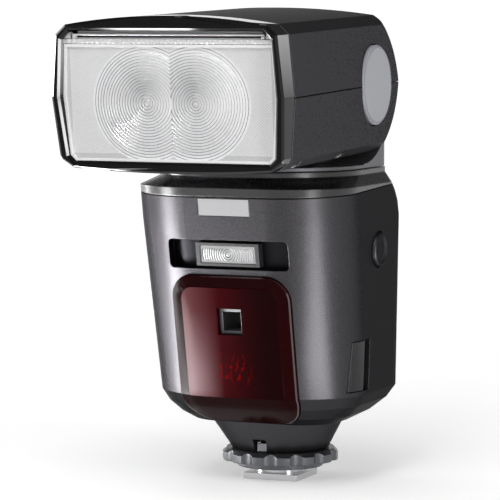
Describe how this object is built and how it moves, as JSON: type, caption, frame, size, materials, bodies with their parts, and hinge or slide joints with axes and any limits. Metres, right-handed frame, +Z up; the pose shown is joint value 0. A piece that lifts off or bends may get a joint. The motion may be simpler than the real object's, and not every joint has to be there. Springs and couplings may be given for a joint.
{
  "type": "speedlight flash",
  "caption": "Hot shoe flash unit: a head that tilts and swivels on a tapered battery body, with a red focus lamp window, a small second flash and a wheel-locked foot.",
  "frame": {"origin": "centre of the foot plate's underside, where it rests in a camera's accessory shoe", "axes": "+Z up through the body, -Y the way the light leaves, +X to the viewer's right when looking at the lens"},
  "size_m": [0.074, 0.1119, 0.1491],
  "materials": {
    "body_lacquer": "dark grey metallic lacquer, fine matt texture",
    "black_satin": "black satin moulding",
    "gloss_black": "piano black gloss",
    "clear_lens": "clear moulded lens",
    "white_plastic": "white satin",
    "red_pane": "dark red, see-through",
    "grey_plastic": "light blue grey, matt",
    "bright_chrome": "bright plated steel",
    "steel": "plain steel",
    "gold_contacts": "gold plated",
    "silver_reflector": "polished reflector sheet",
    "tube_glass": "clear glass",
    "circuit_board": "green circuit board",
    "cell_jacket": "printed jacket, plain",
    "black_sleeve": "shrink sleeve"
  },
  "bodies": {
    "body": {"front_housing": "body_lacquer", "rear_housing": "body_lacquer", "top_cap": "black_satin", "name_plate": "white_plastic", "af_window": "red_pane", "sensor_frame": "black_satin", "photo_sensor": "tube_glass", "focus_lamps": "red_pane", "front_board": "circuit_board", "sub_flash_frame": "black_satin", "sub_flash_lens": "clear_lens", "sub_flash_reflector": "silver_reflector", "sub_flash_tube": "tube_glass", "data_socket": "black_satin", "power_socket": "black_satin", "battery_cradle": "black_satin", "battery_cells": "cell_jacket", "battery_contacts": "steel", "flash_capacitor": "black_sleeve", "main_board": "circuit_board", "control_panel": "black_satin", "display_glass": "tube_glass", "display_module": "circuit_board", "foot_neck": "body_lacquer", "foot_plate": "bright_chrome", "contact_insert": "black_satin", "contact_pins": "gold_contacts", "foot_screws": "steel", "body_screws": "steel"},
    "turret": {"swivel_block": "black_satin", "swivel_clip": "steel"},
    "head": {"head_shell_upper": "body_lacquer", "head_shell_lower": "body_lacquer", "head_screws": "steel", "front_bezel": "gloss_black", "fresnel_lens": "clear_lens", "panel_guide": "black_satin", "zoom_frame": "steel", "guide_rods": "steel", "zoom_motor": "black_satin", "trigger_coil": "black_sleeve", "tilt_axle": "steel", "tilt_plates": "steel", "pivot_bushes": "grey_plastic", "pivot_cap": "grey_plastic"},
    "card": {"bounce_card": "white_plastic"},
    "diffuser": {"diffuser_panel": "clear_lens"},
    "zoom_unit": {"zoom_carriage": "black_satin", "head_reflector": "silver_reflector", "flash_tube": "tube_glass"},
    "screw": {"lead_screw": "steel"},
    "release": {"tilt_release_button": "grey_plastic"},
    "plug": {"socket_plug": "body_lacquer"},
    "flap": {"port_flap": "body_lacquer"},
    "door": {"battery_door": "body_lacquer"},
    "power": {"power_key": "grey_plastic"},
    "test": {"test_key": "grey_plastic"},
    "clamp": {"clamp_plate": "bright_chrome"},
    "wheel": {"locking_wheel": "grey_plastic"},
    "pin": {"locking_pin": "steel"}
  },
  "joints": [
    {"name": "head_swivel", "type": "hinge", "parent": "body", "child": "turret", "pos_m": [0, -0.009, 0.0992], "axis": [0, 0, 1], "range_deg": [-120, 180]},
    {"name": "head_tilt", "type": "hinge", "parent": "turret", "child": "head", "pos_m": [0, -0.009, 0.1253], "axis": [-1, 0, 0], "range_deg": [-5.3, 90]},
    {"name": "card_slide", "type": "slide", "parent": "head", "child": "card", "axis": [0, -0.9996, -0.0297], "range_m": [0, 0.038]},
    {"name": "diffuser_slide", "type": "slide", "parent": "head", "child": "diffuser", "axis": [0, -0.9996, -0.0297], "range_m": [0, 0.034]},
    {"name": "zoom_screw_turn", "type": "hinge", "parent": "head", "child": "screw", "pos_m": [0.016, -0.05356, 0.10977], "axis": [0, 0.9996, 0.0297], "range_deg": [0, 1440]},
    {"name": "zoom_slide", "type": "slide", "parent": "head", "child": "zoom_unit", "axis": [0, 0.9996, 0.0297], "range_m": [0, 0.012]},
    {"name": "tilt_release_press", "type": "slide", "parent": "head", "child": "release", "axis": [-1, 0, 0], "range_m": [0, 0.0012], "stiffness_N_per_m": 500, "springref_m": -0.001},
    {"name": "socket_plug_pull", "type": "slide", "parent": "body", "child": "plug", "axis": [1, 0, 0], "range_m": [0, 0.008]},
    {"name": "port_flap_open", "type": "hinge", "parent": "body", "child": "flap", "pos_m": [0.03179, -0.0209, 0.0388], "axis": [-0.0988, 0, -0.9951], "range_deg": [0, 100]},
    {"name": "battery_door_open", "type": "hinge", "parent": "body", "child": "door", "pos_m": [-0.03287, 0.0096, 0.0316], "axis": [0.0312, 0, -0.9995], "range_deg": [0, 100]},
    {"name": "power_key_press", "type": "slide", "parent": "body", "child": "power", "axis": [0, -1, 0], "range_m": [0, 0.0007], "stiffness_N_per_m": 400, "springref_m": -0.0006},
    {"name": "test_key_press", "type": "slide", "parent": "body", "child": "test", "axis": [0, -1, 0], "range_m": [0, 0.0007], "stiffness_N_per_m": 400, "springref_m": -0.0006},
    {"name": "clamp_slide", "type": "slide", "parent": "body", "child": "clamp", "axis": [0, 0, -1], "range_m": [0, 0.0015]},
    {"name": "wheel_turn", "type": "hinge", "parent": "clamp", "child": "wheel", "pos_m": [0, 0, 0.0059], "axis": [0, 0, 1], "range_deg": [0, 360]},
    {"name": "lock_pin_slide", "type": "slide", "parent": "body", "child": "pin", "axis": [0, 0, -1], "range_m": [0, 0.0015]}
  ],
  "couplings": [
    {"joint": "zoom_screw_turn", "follows": "zoom_slide", "rad_per_m": 2094.4},
    {"joint": "wheel_turn", "follows": "clamp_slide", "rad_per_m": 4188.8},
    {"joint": "lock_pin_slide", "follows": "clamp_slide", "ratio": 1}
  ]
}
